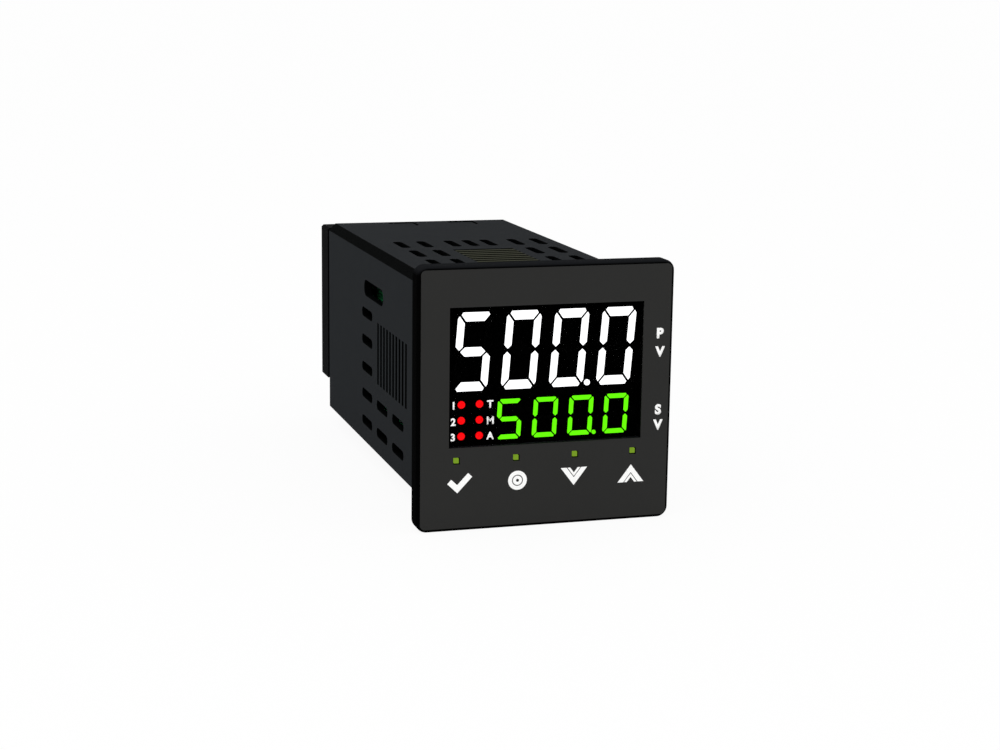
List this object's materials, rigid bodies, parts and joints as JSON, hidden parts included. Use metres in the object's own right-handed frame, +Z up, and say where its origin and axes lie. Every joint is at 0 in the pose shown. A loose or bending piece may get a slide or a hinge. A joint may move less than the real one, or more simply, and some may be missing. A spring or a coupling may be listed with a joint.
{
  "type": "panel-mounted PID temperature controller",
  "caption": "Square-fronted process temperature controller for panel mounting, with two digital readouts, status lamps, touch keys, a vented case and rear screw terminals.",
  "frame": {"origin": "centre of the panel cut-out, in the plane where the bezel flange seats on the panel", "axes": "+Y runs back through the panel along the case, +X to the right of someone facing the front, +Z up"},
  "size_m": [0.048, 0.0988, 0.048],
  "materials": {
    "black_moulding": "satin moulded flame-retardant plastic",
    "case_plastic": "satin moulded plastic of the case",
    "printed_film": "matt printed polyester film",
    "smoked_window": "smoked clear acrylic window",
    "gasket_rubber": "flat black rubber",
    "display_black": "matt black face of the display block",
    "white_segments": "lit white diffusers",
    "green_segments": "lit green diffusers",
    "red_lamps": "lit red diffusers",
    "green_lamps": "green light pipes",
    "circuit_board": "green solder mask on glass epoxy",
    "switch_plastic": "black switch body",
    "key_plastic": "dark grey moulded keys",
    "header_plastic": "black header strip",
    "ferrite": "sintered ferrite",
    "winding_tape": "yellow polyester tape over the winding",
    "bobbin_plastic": "black bobbin",
    "capacitor_sleeve": "dark heat-shrunk sleeve",
    "film_capacitor": "yellow box capacitor",
    "relay_plastic": "blue relay case",
    "chip_plastic": "black moulded chip",
    "tinned_metal": "tinned leads and can",
    "terminal_plastic": "black moulded terminal block",
    "contact_metal": "tinned brass contact",
    "plated_steel": "zinc-plated steel"
  },
  "bodies": {
    "housing": {"front_bezel": "black_moulding", "panel_gasket": "gasket_rubber", "front_film": "printed_film", "display_window": "smoked_window", "display_block": "display_black", "process_digits": "white_segments", "setpoint_digits": "green_segments", "status_lamps": "red_lamps", "key_lamps": "green_lamps", "key_switches": "switch_plastic", "case_sleeve": "case_plastic", "display_board": "circuit_board", "power_board": "circuit_board", "logic_board": "circuit_board", "board_headers": "header_plastic", "transformer_core": "ferrite", "transformer_winding": "winding_tape", "transformer_base": "bobbin_plastic", "filter_capacitors": "capacitor_sleeve", "mains_capacitor": "film_capacitor", "output_relays": "relay_plastic", "processor_chip": "chip_plastic", "processor_leads": "tinned_metal", "clock_crystal": "tinned_metal", "terminal_block": "terminal_plastic", "terminal_contacts": "contact_metal", "wire_clamps": "plated_steel", "terminal_screws": "plated_steel"},
    "enter_button": {"enter_key": "key_plastic", "enter_switch_stem": "switch_plastic"},
    "menu_button": {"menu_key": "key_plastic", "menu_switch_stem": "switch_plastic"},
    "down_button": {"down_key": "key_plastic", "down_switch_stem": "switch_plastic"},
    "up_button": {"up_key": "key_plastic", "up_switch_stem": "switch_plastic"}
  },
  "joints": [
    {"name": "enter_press", "type": "slide", "parent": "housing", "child": "enter_button", "axis": [0, 1, 0], "range_m": [0, 0.00025], "stiffness_N_per_m": 6400},
    {"name": "menu_press", "type": "slide", "parent": "housing", "child": "menu_button", "axis": [0, 1, 0], "range_m": [0, 0.00025], "stiffness_N_per_m": 6400},
    {"name": "down_press", "type": "slide", "parent": "housing", "child": "down_button", "axis": [0, 1, 0], "range_m": [0, 0.00025], "stiffness_N_per_m": 6400},
    {"name": "up_press", "type": "slide", "parent": "housing", "child": "up_button", "axis": [0, 1, 0], "range_m": [0, 0.00025], "stiffness_N_per_m": 6400}
  ]
}
